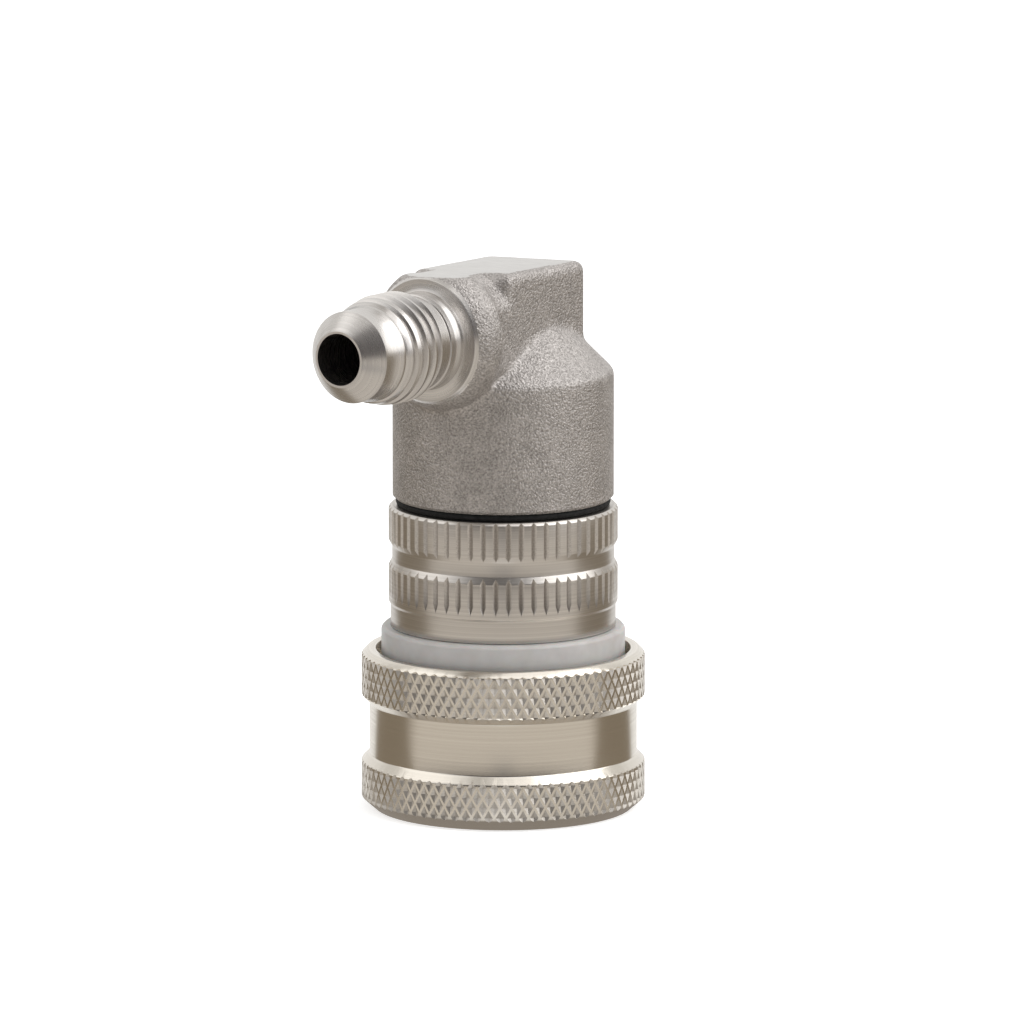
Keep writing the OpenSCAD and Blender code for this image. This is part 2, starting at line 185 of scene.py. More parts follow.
def drawn(name, outline):
    """A closed outline of (radius, height) points, drawn edge by edge in the XZ plane."""
    bpy.ops.object.select_all(action="DESELECT")
    bpy.ops.mesh.primitive_plane_add(size=MM)
    piece = bpy.context.object
    piece.name = name
    bpy.ops.object.mode_set(mode="EDIT")
    bpy.ops.mesh.select_mode(type="VERT")
    bpy.ops.mesh.select_all(action="SELECT")
    bpy.ops.mesh.merge(type="CENTER")
    radius, height = outline[0]
    bpy.ops.transform.translate(value=(radius * MM, 0, height * MM))
    for next_radius, next_height in outline[1:] + outline[:1]:
        step = ((next_radius - radius) * MM, 0, (next_height - height) * MM)
        bpy.ops.mesh.extrude_region_move(TRANSFORM_OT_translate={"value": step})
        radius, height = next_radius, next_height
    bpy.ops.mesh.select_all(action="SELECT")
    bpy.ops.mesh.remove_doubles(threshold=WELD)
    bpy.ops.object.mode_set(mode="OBJECT")
    return piece


def turned(name, outline, steps=TURN_STEPS):
    """A closed outline of (radius, height) points, spun about the socket axis."""
    piece = drawn(name, outline)
    bpy.ops.object.mode_set(mode="EDIT")
    bpy.ops.mesh.spin(steps=steps, angle=2 * math.pi, center=(0, 0, 0), axis=(0, 0, 1))
    bpy.ops.mesh.select_all(action="SELECT")
    bpy.ops.mesh.remove_doubles(threshold=WELD)
    bpy.ops.mesh.normals_make_consistent(inside=False)
    bpy.ops.object.mode_set(mode="OBJECT")
    return piece


def apply_modifier(piece, kind, **settings):
    """Adds a modifier to a piece and applies it."""
    only(piece)
    modifier = piece.modifiers.new(kind.title(), kind)
    for name, value in settings.items():
        setattr(modifier, name, value)
    bpy.ops.object.modifier_apply(modifier=modifier.name)
    return piece


def combined(piece, other, operation):
    """Joins, cuts or intersects a piece with another one, which is used up."""
    apply_modifier(piece, "BOOLEAN", operation=operation, object=other, solver="MANIFOLD")
    bpy.data.objects.remove(other)
    return piece


def rounded_edges(piece, width, segments=2, angle=25):
    """Rounds every edge that is sharper than an angle."""
    return apply_modifier(
        piece, "BEVEL", width=width * MM, segments=segments,
        limit_method="ANGLE", angle_limit=math.radians(angle),
    )


def smooth(piece, angle=30):
    """Shades a piece smooth, apart from the edges sharper than an angle."""
    only(piece)
    bpy.ops.object.shade_smooth_by_angle(angle=math.radians(angle))
    return piece


def rod(name, radius, start, end, vertices=96):
    """A straight rod between two points."""
    start, end = Vector(start) * MM, Vector(end) * MM
    bpy.ops.object.select_all(action="DESELECT")
    bpy.ops.mesh.primitive_cylinder_add(
        vertices=vertices, radius=radius * MM, depth=(end - start).length,
        location=(start + end) / 2, rotation=(end - start).to_track_quat("Z", "Y").to_euler(),
    )
    return added(name)


def ring_of(piece, placements):
    """Copies a piece to every placement, each with its own mesh, and joins the copies into one."""
    copies = []
    for placement in placements:
        copy = piece.copy()
        copy.data = piece.data.copy()
        copy.data.transform(placement)
        bpy.context.collection.objects.link(copy)
        copies.append(copy)
    bpy.data.objects.remove(piece)
    bpy.ops.object.select_all(action="DESELECT")
    for copy in copies:
        copy.select_set(True)
    bpy.context.view_layer.objects.active = copies[0]
    bpy.ops.object.join()
    return bpy.context.object


def along_outlet(piece):
    """Turns a piece made about +Z onto the outlet's axis, which runs along -Y."""
    piece.data.transform(Matrix.Translation((0, 0, OUTLET_Z * MM)) @ Matrix.Rotation(math.pi / 2, 4, "X"))
    return piece


def merged_copy(node, name):
    """A copy of a CAD node's mesh with its loose triangles joined up."""
    piece = frame["nodes"][node].copy()
    piece.data = piece.data.copy()
    piece.name = name
    for key in list(piece.keys()):
        del piece[key]
    piece.parent = None
    bpy.context.collection.objects.link(piece)
    only(piece)
    bpy.ops.object.mode_set(mode="EDIT")
    bpy.ops.mesh.select_all(action="SELECT")
    bpy.ops.mesh.remove_doubles(threshold=WELD)
    bpy.ops.object.mode_set(mode="OBJECT")
    return piece


def placed(piece, body, node, slot, *materials):
    """Gives a finished piece its materials and its body, and hides the CAD node it stands for; the slot is
    not used.
    """
    for index, material in enumerate(materials):
        if index < len(piece.data.materials):
            piece.data.materials[index] = material
        else:
            piece.data.materials.append(material)
    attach(piece, body)
    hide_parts(node)
    return piece


# ---------------------------------------------------------------- elbow head


def thread_ridge(start, end):
    """The ridge of a right-hand thread about +Z, long enough to be trimmed at both ends."""
    half_crest = THREAD_PITCH / 16
    sunk = 0.1
    half_foot = half_crest + (THREAD_DEPTH + sunk) * math.tan(math.radians(30))
    turns = math.ceil((end - start) / THREAD_PITCH) + 2
    crest, foot = THREAD_R + 0.1, THREAD_R - THREAD_DEPTH - sunk
    bottom = end - FIRST_CREST - (turns - 1) * THREAD_PITCH
    ridge = drawn("thread_ridge", [
        (foot, bottom - half_foot),
        (crest, bottom - half_crest),
        (crest, bottom + half_crest),
        (foot, bottom + half_foot),
    ])
    apply_modifier(
        ridge, "SCREW", axis="Z", angle=2 * math.pi, screw_offset=THREAD_PITCH * MM,
        iterations=turns, steps=72, render_steps=72,
    )
    bpy.ops.object.mode_set(mode="EDIT")
    bpy.ops.mesh.select_all(action="SELECT")
    bpy.ops.mesh.remove_doubles(threshold=WELD)
    bpy.ops.mesh.fill_holes(sides=0)
    bpy.ops.mesh.select_all(action="SELECT")
    bpy.ops.mesh.normals_make_consistent(inside=False)
    bpy.ops.object.mode_set(mode="OBJECT")
    return ridge


def machined_envelope():
    """What the lathe leaves: all that lies behind the flange, then the flange, relief, thread and nose."""
    beyond = 40
    nose_start = OUTLET_REACH - NOSE_CONE - EDGE / 2 - NOSE_LAND
    thread_start = nose_start - THREAD_LENGTH
    root = THREAD_R - THREAD_DEPTH
    lip = OUTLET_BORE_R + 0.35
    step = 0.1
    relief_foot = FLANGE_REACH + 1
    ridge_foot = relief_foot + 0.5
    ridge_top = ridge_foot + 0.7
    envelope = turned("envelope", [
        (0, -beyond),
        (beyond, -beyond),
        (beyond, FLANGE_REACH - FLANGE_BEVEL),
        (FLANGE_R + FLANGE_BEVEL, FLANGE_REACH - FLANGE_BEVEL),
        (FLANGE_R, FLANGE_REACH),
        (RELIEF_R + 0.5, FLANGE_REACH),
        (RELIEF_R + 0.18, FLANGE_REACH + step),
        (RELIEF_R + step, FLANGE_REACH + 3 * step),
        (RELIEF_R + step, relief_foot - 0.15),
        (RELIEF_R, relief_foot),
        (RELIEF_R, ridge_foot),
        (RELIEF_R + RELIEF_RIDGE_H, ridge_foot + step),
        (RELIEF_R + RELIEF_RIDGE_H, ridge_top - step),
        (RELIEF_R, ridge_top),
        (RELIEF_R, thread_start + 0.2),
        (root, thread_start + 0.6),
        (root, nose_start - 0.3),
        (NOSE_R, nose_start),
        (NOSE_R, nose_start + NOSE_LAND),
        (lip, OUTLET_REACH - step),
        (lip - 0.12, OUTLET_REACH),
        (0, OUTLET_REACH),
    ])
    ridge = thread_ridge(thread_start, nose_start)
    trim = turned("trim", [
        (0, thread_start),
        (RELIEF_R - 0.05, thread_start),
        (THREAD_R, thread_start + 0.5),
        (THREAD_R, nose_start - LEAD_IN),
        (NOSE_R + 0.5, nose_start - FIRST_CREST),
        (NOSE_R - 0.05, nose_start - 0.35),
        (0, nose_start),
    ])
    combined(ridge, trim, "INTERSECT")
    combined(envelope, ridge, "UNION")
    return along_outlet(envelope)


def block_shape(name, low_corner, high_corner):
    """A plain block between two corners."""
    low_corner, high_corner = Vector(low_corner) * MM, Vector(high_corner) * MM
    bpy.ops.object.select_all(action="DESELECT")
    bpy.ops.mesh.primitive_cube_add(
        size=1, location=(low_corner + high_corner) / 2, scale=high_corner - low_corner
    )
    return added(name)


def ground_flat(piece):
    """Takes off everything above the head's top, which falls a little to the left and to the back."""
    corner = Vector((BLOCK_HALF_W, -BLOCK_FRONT, OUTLET_Z + BLOCK_TOP)) * MM
    upwards = Vector((-math.tan(TOP_FALL_LEFT), math.tan(TOP_FALL_BACK), 1)).normalized()
    only(piece)
    bpy.ops.object.mode_set(mode="EDIT")
    bpy.ops.mesh.select_all(action="SELECT")
    bpy.ops.mesh.bisect(plane_co=corner, plane_no=upwards, use_fill=True, clear_outer=True)
    bpy.ops.object.mode_set(mode="OBJECT")
    return piece


def cast_boss():
    """Boss that rounds over to the flange, with the neck behind it, no wider than the block."""
    rim_r = FLANGE_R + FLANGE_BEVEL - 0.05
    turn = math.acos(1 - (BOSS_R - rim_r) / BOSS_ROUND)
    rim_y = FLANGE_REACH - FLANGE_BEVEL
    steps = 8
    over = [
        (BOSS_R - BOSS_ROUND * (1 - math.cos(a)), rim_y - BOSS_ROUND * (math.sin(turn) - math.sin(a)))
        for a in (turn * i / steps for i in range(steps + 1))
    ]
    stock_r = FLANGE_R - 0.3
    stock_end = OUTLET_REACH + 2
    boss = along_outlet(turned("boss", [
        (0, BOSS_REAR),
        (BOSS_R - EDGE, BOSS_REAR),
        (BOSS_R, BOSS_REAR + EDGE),
        *over,
        (stock_r, FLANGE_REACH + 0.4),
        (stock_r, stock_end),
        (0, stock_end),
    ], steps=128))
    neck = rod("neck", NECK_R, (0, 0, OUTLET_Z), (0, -BOSS_REAR - EDGE, OUTLET_Z), 128)
    slab = block_shape(
        "slab", (-BLOCK_HALF_W, -BOSS_REAR - 1, OUTLET_Z - 10), (BLOCK_HALF_W, 1, OUTLET_Z + 10)
    )
    combined(neck, slab, "INTERSECT")
    return ground_flat(combined(boss, neck, "UNION"))


def cast_body():
    """The casting before machining: round barrel, conical shoulder, flat-sided block and boss."""
    shoulder_z = OUTLET_Z - SHOULDER_DROP
    flat_r = 3
    cone_top = shoulder_z + HEAD_R - flat_r
    body = turned("elbow_head", [
        (0, HEAD_FOOT - 2),
        (HEAD_R, HEAD_FOOT - 2),
        (HEAD_R, shoulder_z),
        (flat_r, cone_top),
        (0, cone_top),
    ], steps=128)
    foot = shoulder_z + HEAD_R - math.hypot(BLOCK_HALF_W, BLOCK_FRONT) - EDGE
    above = OUTLET_Z + BLOCK_TOP + 2
    block = ground_flat(block_shape(
        "block", (-BLOCK_HALF_W, -BLOCK_FRONT, foot), (BLOCK_HALF_W, BLOCK_BACK, above)
    ))
    only(block)
    bpy.ops.object.mode_set(mode="EDIT")
    bpy.ops.mesh.select_all(action="SELECT")
    bpy.ops.mesh.bevel(offset=CAST_ROUND * MM, segments=4, affect="EDGES")
    bpy.ops.object.mode_set(mode="OBJECT")
    combined(body, block, "UNION")
    combined(body, cast_boss(), "UNION")
    apply_modifier(body, "REMESH", mode="VOXEL", voxel_size=0.2 * MM, use_smooth_shade=True)
    apply_modifier(body, "SMOOTH", factor=0.5, iterations=26)
    return body


def elbow_head():
    """The casting, cut by the lathe at the outlet and at the foot, then drilled."""
    head = cast_body()
    combined(head, machined_envelope(), "INTERSECT")
    beyond = 50
    above = 80
    foot_cut = turned("foot_cut", [
        (0, HEAD_FOOT),
        (HEAD_R - EDGE, HEAD_FOOT),
        (HEAD_R + 0.2, HEAD_FOOT + EDGE + 0.2),
        (beyond, HEAD_FOOT + EDGE + 0.2),
        (beyond, above),
        (0, above),
    ])
    combined(head, foot_cut, "INTERSECT")
    top = SPIGOT_TOP + EDGE
    room_top = SPIGOT_TOP + VALVE_ROOM_H
    drillings = (
        (SPIGOT_R + SPIGOT_PLAY, (0, 0, HEAD_FOOT - 1), (0, 0, top)),
        (VALVE_ROOM_R, (0, 0, top - 1), (0, 0, room_top)),
        (RISER_R, (0, 0, top), (0, 0, OUTLET_Z + 1.1)),
        (OUTLET_BORE_R, (0, 2.5, OUTLET_Z), (0, -OUTLET_REACH - 1, OUTLET_Z)),
    )
    for radius, start, end in drillings:
        combined(head, rod("drill", radius, start, end), "DIFFERENCE")
    mark_machined(head)
    return smooth(head, 35)


def mark_machined(head):
    """Machined faces take the second material, and the ground top the third; the rest stays as cast."""
    for face in head.data.polygons:
        centre = face.center / MM
        from_axis = math.hypot(centre.x, centre.z - OUTLET_Z)
        in_front = -centre.y > FLANGE_REACH - FLANGE_BEVEL - 0.02 and from_axis < BOSS_R
        in_outlet = from_axis < OUTLET_BORE_R + 0.05 and centre.y < 3
        near_axis = math.hypot(centre.x, centre.y) < SPIGOT_R + 2 * SPIGOT_PLAY
        in_socket = near_axis and centre.z < OUTLET_Z - OUTLET_BORE_R
        at_foot = centre.z < HEAD_FOOT + 0.02
        on_top = centre.z > OUTLET_Z + 5 and face.normal.z > 0.985
        if in_front or in_outlet or in_socket or at_foot:
            face.material_index = 1
        elif on_top:
            face.material_index = 2
        else:
            face.material_index = 0


# ---------------------------------------------------------------- barrel


def flute_cutters(foot, top, run_out):
    """Vee cutters round the barrel, which rise out of the metal at the foot if they run out."""
    proud = 0.15
    bpy.ops.object.select_all(action="DESELECT")
    bpy.ops.mesh.primitive_cylinder_add(vertices=3, radius=MM, depth=MM)
    cutter = added("flute")
    bottom = foot + (run_out if run_out else -0.4)
    crest = BARREL_R + proud
    valley = BARREL_R - FLUTE_DEPTH
    half_w = FLUTE_W / 2 * (1 + proud / FLUTE_DEPTH)
    shape = bmesh.new()
    shape.from_mesh(cutter.data)
    corners = sorted({round(v.co.x, 7) for v in shape.verts})
    for v in shape.verts:
        height = top if v.co.z > 0 else bottom
        spread = corners.index(round(v.co.x, 7))
        v.co = Vector((valley if spread == 1 else crest, (spread - 1) * half_w, height)) * MM
    shape.to_mesh(cutter.data)
    shape.free()
    only(cutter)
    bpy.ops.object.mode_set(mode="EDIT")
    if run_out:
        select_faces(cutter, lambda face: face.calc_center_median().z < (bottom + 0.01) * MM)
        bpy.ops.mesh.extrude_region_move(TRANSFORM_OT_translate={"value": (0, 0, -run_out * MM)})
        bpy.ops.mesh.merge(type="COLLAPSE")
        bpy.ops.transform.translate(value=((crest - valley) / 3 * MM, 0, 0))
    bpy.ops.mesh.select_all(action="SELECT")
    bpy.ops.mesh.normals_make_consistent(inside=False)
    bpy.ops.object.mode_set(mode="OBJECT")
    turns = [Matrix.Rotation(2 * math.pi * i / FLUTE_COUNT, 4, "Z") for i in range(FLUTE_COUNT)]
    return ring_of(cutter, turns)


def select_faces(piece, wanted):
    """In edit mode, selects the faces that a test picks."""
    bpy.ops.mesh.select_mode(type="FACE")
    bpy.ops.mesh.select_all(action="DESELECT")
    shape = bmesh.from_edit_mesh(piece.data)
    for face in shape.faces:
        face.select = wanted(face)
    shape.select_flush_mode()
    bmesh.update_edit_mesh(piece.data)


def barrel():
    """Socket sleeve, plain land and fluted bands, turned in one piece, with the balls' holes."""
    lower_top = LOWER_BAND_FOOT + LOWER_BAND_H
    groove_foot = lower_top + GROOVE_BEVEL
    upper_foot = groove_foot + GROOVE_H + GROOVE_BEVEL
    mouth_chamfer = 0.6
    ring_z = BARREL_FOOT + 0.7
    ring_r = SLEEVE_R - RING_GROOVE_DEPTH
    piece = turned("barrel", [
        (MOUTH_R + mouth_chamfer, BARREL_FOOT),
        (SLEEVE_R - EDGE, BARREL_FOOT),
        (SLEEVE_R, BARREL_FOOT + EDGE),
        (SLEEVE_R, ring_z),
        (ring_r, ring_z),
        (ring_r, ring_z + RING_GROOVE_H),
        (SLEEVE_R, ring_z + RING_GROOVE_H),
        (SLEEVE_R, LAND_FOOT),
        (LAND_R, LAND_FOOT),
        (LAND_R, LOWER_BAND_FOOT),
        (BARREL_R, LOWER_BAND_FOOT + EDGE),
        (BARREL_R, lower_top),
        (GROOVE_R, groove_foot),
        (GROOVE_R, groove_foot + GROOVE_H),
        (BARREL_R, upper_foot),
        (BARREL_R, BARREL_FACE - EDGE),
        (BARREL_R - EDGE, BARREL_FACE),
        (SPIGOT_R, BARREL_FACE),
        (SPIGOT_R, SPIGOT_TOP - EDGE),
        (SPIGOT_R - EDGE, SPIGOT_TOP),
        (VALVE_R, SPIGOT_TOP),
        (VALVE_R, VALVE_SEAT_Z),
        (PASSAGE_R, VALVE_SEAT_Z),
        (PASSAGE_R, PASSAGE_FOOT),
        (BORE_R, BORE_TOP),
        (BORE_R, BORE_FOOT),
        (MOUTH_R, BORE_FOOT + BORE_R - MOUTH_R),
        (MOUTH_R, BARREL_FOOT + mouth_chamfer),
    ])
    rounded_edges(piece, 0.06)
    combined(piece, flute_cutters(upper_foot - GROOVE_BEVEL, BARREL_FACE + 0.4, 0), "DIFFERENCE")
    flutes = flute_cutters(LOWER_BAND_FOOT + 2 * EDGE, lower_top + GROOVE_BEVEL, FLUTE_RUN_OUT)
    combined(piece, flutes, "DIFFERENCE")
    for ball in BALLS:
        centre = (low(ball) + high(ball)) / 2
        outward = Vector((centre.x, centre.y, 0)).normalized()
        for radius, start_r in ((BALL_STOP_R, MOUTH_R - 1), (BALL_HOLE_R, MOUTH_R + EDGE)):
            start = outward * start_r
            end = outward * (SLEEVE_R + 1)
            hole = rod("hole", radius, (start.x, start.y, centre.z), (end.x, end.y, centre.z), 48)
            combined(piece, hole, "DIFFERENCE")
    return smooth(piece)


# ---------------------------------------------------------------- release collar


def knurl_cutters(foot, top):
    """Four-sided pits in staggered rows, which leave the crossing ridges of a diamond knurl."""
    width = 2 * math.pi * COLLAR_R / KNURL_COUNT
    height = width / math.tan(math.radians(30))
    proud = 0.03
    bpy.ops.object.select_all(action="DESELECT")
    bpy.ops.mesh.primitive_cone_add(
        vertices=4, radius1=MM, radius2=0, depth=MM, end_fill_type="NGON",
        rotation=(0, -math.pi / 2, 0),
    )
    pit = added("pit")
    size = Vector((
        (KNURL_DEPTH + proud) * MM, (width / 2 - KNURL_RIDGE) * MM, (height / 2 - 1.7 * KNURL_RIDGE) * MM
    ))
    base = max(v.co.x for v in pit.data.vertices)
    for v in pit.data.vertices:
        v.co = Vector((
            (v.co.x - base) / MM * size.x + (COLLAR_R + proud) * MM,
            v.co.y / MM * size.y,
            v.co.z / MM * size.z,
        ))
    rows = math.floor((top - foot) / (height / 2)) + 1
    first = (foot + top) / 2 - (rows - 1) / 2 * height / 2
    placements = []
    for row in range(rows):
        lift = Matrix.Translation((0, 0, (first + row * height / 2) * MM))
        for i in range(KNURL_COUNT):
            turn = 2 * math.pi * (i + row % 2 / 2) / KNURL_COUNT
            placements.append(lift @ Matrix.Rotation(turn, 4, "Z"))
    return ring_of(pit, placements)


def release_collar():
    """Collar with two diamond-knurled bands, the balls' cam, the spring's room and the stop shoulder."""
    lower_top = FOOT_CHAMFER + LOWER_KNURL_H
    upper_top = COLLAR_H - 2 * EDGE
    upper_foot = upper_top - UPPER_KNURL_H
    groove_r = COLLAR_R - COLLAR_GROOVE_DEPTH
    lip_r = COLLAR_R - COLLAR_LIP_WALL
    running_r = SLEEVE_R + SLEEVE_PLAY
    piece = turned("release_collar", [
        (STOP_R, 0),
        (STOP_R + 0.7, 0),
        (COLLAR_R, FOOT_CHAMFER),
        (COLLAR_R, lower_top),
        (groove_r, lower_top + COLLAR_GROOVE_DEPTH),
        (groove_r, upper_foot - COLLAR_GROOVE_DEPTH),
        (COLLAR_R, upper_foot),
        (COLLAR_R, upper_top),
        (COLLAR_R - COLLAR_LIP_CHAMFER, COLLAR_H),
        (lip_r, COLLAR_H),
        (lip_r, SPRING_ROOM_TOP),
        (SPRING_ROOM_R, SPRING_ROOM_TOP),
        (SPRING_ROOM_R, LEDGE_Z),
        (running_r, LEDGE_Z),
        (running_r, CAM_TOP_Z),
        (CAM_FOOT_R, STOP_Z),
        (STOP_R, STOP_Z),
    ], steps=312)
    rounded_edges(piece, 0.08, angle=20)
    combined(piece, knurl_cutters(FOOT_CHAMFER, lower_top), "DIFFERENCE")
    combined(piece, knurl_cutters(upper_foot, upper_top), "DIFFERENCE")
    mark_knurl(piece, ((FOOT_CHAMFER, lower_top), (upper_foot, upper_top)))
    return smooth(piece, 25)


def mark_knurl(collar, bands):
    """The knurl's pits, pressed into the metal, take the second material: rougher, and darker as painted
    shade in the pits.
    """
    for face in collar.data.polygons:
        centre = face.center / MM
        radius = math.hypot(centre.x, centre.y)
        in_band = any(foot < centre.z < top for foot, top in bands)
        sunk = COLLAR_R - COLLAR_GROOVE_DEPTH < radius < COLLAR_R - 0.01
        face.material_index = 1 if in_band and sunk else 0


# ---------------------------------------------------------------- small pieces


def guide_ring():
    """White ring that guides the collar's mouth and holds the spring's upper end."""
    foot, top = low("guide_ring").z, high("guide_ring").z
    outer, inner = high("guide_ring").x, SLEEVE_R + SLEEVE_PLAY
    piece = turned("guide_ring", [
        (inner, foot),
        (outer - EDGE, foot),
        (outer, foot + EDGE),
        (outer, top - EDGE),
        (outer - EDGE, top),
        (inner, top),
    ])
    return smooth(rounded_edges(piece, 0.12, 3), 40)


def head_seal():
    """Black ring between the head and the barrel, with a round outer edge."""
    foot, top = low("head_seal").z, high("head_seal").z
    outer, inner = high("head_seal").x, SPIGOT_R + 2 * SPIGOT_PLAY
    swell = (top - foot) / 2
    corner = swell * 0.3
    piece = turned("head_seal", [
        (inner, foot),
        (outer - swell, foot),
        (outer - corner, foot + corner),
        (outer, foot + swell),
        (outer - corner, top - corner),
        (outer - swell, top),
        (inner, top),
    ], steps=128)
    return smooth(rounded_edges(piece, 0.1, 3), 60)


# ---------------------------------------------------------------- materials


def node_group(name, inputs, outputs):
    """A shader group with named inputs (name, value) and outputs (name, kind)."""
    group = bpy.data.node_groups.new(name, "ShaderNodeTree")
    for label, value in inputs:
        kind = "NodeSocketVector" if value is None else "NodeSocketFloat"
        socket = group.interface.new_socket(label, in_out="INPUT", socket_type=kind)
        if value is not None:
            socket.default_value = value
    for label, kind in outputs:
        group.interface.new_socket(label, in_out="OUTPUT", socket_type=kind)
    return group, group.nodes.new("NodeGroupInput"), group.nodes.new("NodeGroupOutput")


def math_node(tree, operation, a, b=None, clamp=False):
    """A Math node on numbers or sockets, by its output."""
    node = tree.nodes.new("ShaderNodeMath")
    node.operation = operation
    node.use_clamp = clamp
    for socket, value in zip(node.inputs, (a, b)):
        if value is None:
            continue
        if isinstance(value, (int, float)):
            socket.default_value = value
        else:
            tree.links.new(value, socket)
    return node.outputs[0]


def noise_node(tree, vector, scale, detail=2.0, roughness=0.5):
    """A Noise Texture, by its value."""
    node = tree.nodes.new("ShaderNodeTexNoise")
    node.inputs["Detail"].default_value = detail
    node.inputs["Roughness"].default_value = roughness
    if isinstance(scale, (int, float)):
        node.inputs["Scale"].default_value = scale
    else:
        tree.links.new(scale, node.inputs["Scale"])
    tree.links.new(vector, node.inputs["Vector"])
    return node.outputs[0]


def turning_marks_group():
    """Fine rings that a lathe leaves about the Z of the vector it is given, as a value about 0.5."""
    group, given, result = node_group(
        "turning_marks", [("Vector", None), ("Lines per mm", 5.0)], [("Marks", "NodeSocketFloat")]
    )
    split = group.nodes.new("ShaderNodeSeparateXYZ")
    group.links.new(given.outputs["Vector"], split.inputs[0])
    across = math_node(group, "MULTIPLY", split.outputs[0], split.outputs[0])
    along = math_node(group, "MULTIPLY", split.outputs[1], split.outputs[1])
    radius = math_node(group, "SQRT", math_node(group, "ADD", across, along))
    joined = group.nodes.new("ShaderNodeCombineXYZ")
    group.links.new(radius, joined.inputs[0])
    group.links.new(split.outputs[2], joined.inputs[1])
    scale = math_node(group, "MULTIPLY", given.outputs["Lines per mm"], 1000)
    marks = noise_node(group, joined.outputs[0], scale, 3.0, 0.65)
    group.links.new(marks, result.inputs["Marks"])
    return group


def blasted_grain_group():
    """Pebbled skin of a blasted casting: its height, and a fine mottling of its colour."""
    group, given, result = node_group(
        "blasted_grain", [("Vector", None), ("Grains per mm", 3.0)],
        [("Height", "NodeSocketFloat"), ("Mottle", "NodeSocketFloat")],
    )
    scale = math_node(group, "MULTIPLY", given.outputs["Grains per mm"], 1000)
    pebble = noise_node(group, given.outputs["Vector"], scale, 1.0, 0.5)
    coarse = noise_node(group, given.outputs["Vector"], math_node(group, "MULTIPLY", scale, 0.5), 2.0, 0.5)
    broad = noise_node(group, given.outputs["Vector"], math_node(group, "MULTIPLY", scale, 0.1), 2.0, 0.5)
    height = math_node(group, "ADD", pebble, math_node(group, "MULTIPLY", coarse, 0.5))
    group.links.new(height, result.inputs["Height"])
    fine = math_node(group, "MULTIPLY", pebble, 0.75)
    cloud = math_node(group, "MULTIPLY", broad, 0.25)
    group.links.new(math_node(group, "ADD", fine, cloud), result.inputs["Mottle"])
    return group


def new_material(name, **sockets):
    """A material on the Principled BSDF with its constants on the shader's own sockets."""
    material = bpy.data.materials.new(name)
    material.use_nodes = True
    shader = material.node_tree.nodes["Principled BSDF"]
    for label, value in sockets.items():
        socket = shader.inputs[label.replace("_", " ")]
        socket.default_value = (*value, 1) if socket.type == "RGBA" else value
    return material, material.node_tree, shader


def place_group(tree, group, vector, **values):
    """Places a shader group in a material with its own values."""
    node = tree.nodes.new("ShaderNodeGroup")
    node.node_tree = group
    tree.links.new(vector, node.inputs["Vector"])
    for label, value in values.items():
        node.inputs[label.replace("_", " ")].default_value = value
    return node


def object_coordinates(tree, about_outlet=False):
    """Object coordinates, or the same with Z along the outlet's axis."""
    source = tree.nodes.new("ShaderNodeTexCoord").outputs["Object"]
    if not about_outlet:
        return source
    mapping = tree.nodes.new("ShaderNodeMapping")
    mapping.inputs["Location"].default_value = (0, OUTLET_Z * MM, 0)
    mapping.inputs["Rotation"].default_value = (math.pi / 2, 0, 0)
    tree.links.new(source, mapping.inputs["Vector"])
    return mapping.outputs[0]


def colour_between(tree, factor, stops):
    """A Color Ramp over a factor, with (position, colour or grey) stops."""
    ramp = tree.nodes.new("ShaderNodeValToRGB")
    tree.links.new(factor, ramp.inputs[0])
    while len(ramp.color_ramp.elements) < len(stops):
        ramp.color_ramp.elements.new(0.5)
    for element, (position, colour) in zip(ramp.color_ramp.elements, stops):
        element.position = position
        element.color = (*colour, 1) if isinstance(colour, tuple) else (colour, colour, colour, 1)
    return ramp.outputs[0]


def raised(tree, shader, height, distance):
    """Raises the surface by a height value, up to a distance."""
    bump = tree.nodes.new("ShaderNodeBump")
    bump.inputs["Strength"].default_value = 1.0
    bump.inputs["Distance"].default_value = distance * MM
    tree.links.new(height, bump.inputs["Height"])
    tree.links.new(bump.outputs[0], shader.inputs["Normal"])


def turned_steel(name, marks_group, low_colour, high_colour, roughness, relief, about_outlet=False):
    """Machined steel with fine turning marks in its colour, its roughness and its surface."""
    material, tree, shader = new_material(name, Metallic=1.0)
    marks = place_group(tree, marks_group, object_coordinates(tree, about_outlet), Lines_per_mm=5.0)
    tree.links.new(
        colour_between(tree, marks.outputs[0], [(0.3, low_colour), (0.7, high_colour)]),
        shader.inputs["Base Color"],
    )
    tree.links.new(
        colour_between(tree, marks.outputs[0], [(0.3, roughness + 0.05), (0.7, roughness - 0.03)]),
        shader.inputs["Roughness"],
    )
    raised(tree, shader, marks.outputs[0], relief)
    return material


def cast_steel(grain_group):
    """Blasted stainless casting: pebbled, matt and mottled."""
    material, tree, shader = new_material("cast_steel", Metallic=1.0)
    grain = place_group(tree, grain_group, object_coordinates(tree), Grains_per_mm=4.6)
    tones = [(0.32, (0.34, 0.322, 0.311)), (0.68, (0.62, 0.592, 0.577))]
    tree.links.new(colour_between(tree, grain.outputs["Mottle"], tones), shader.inputs["Base Color"])
    tree.links.new(
        colour_between(tree, grain.outputs["Mottle"], [(0.3, 0.62), (0.7, 0.54)]), shader.inputs["Roughness"]
    )
    raised(tree, shader, grain.outputs["Height"], 0.115)
    return material


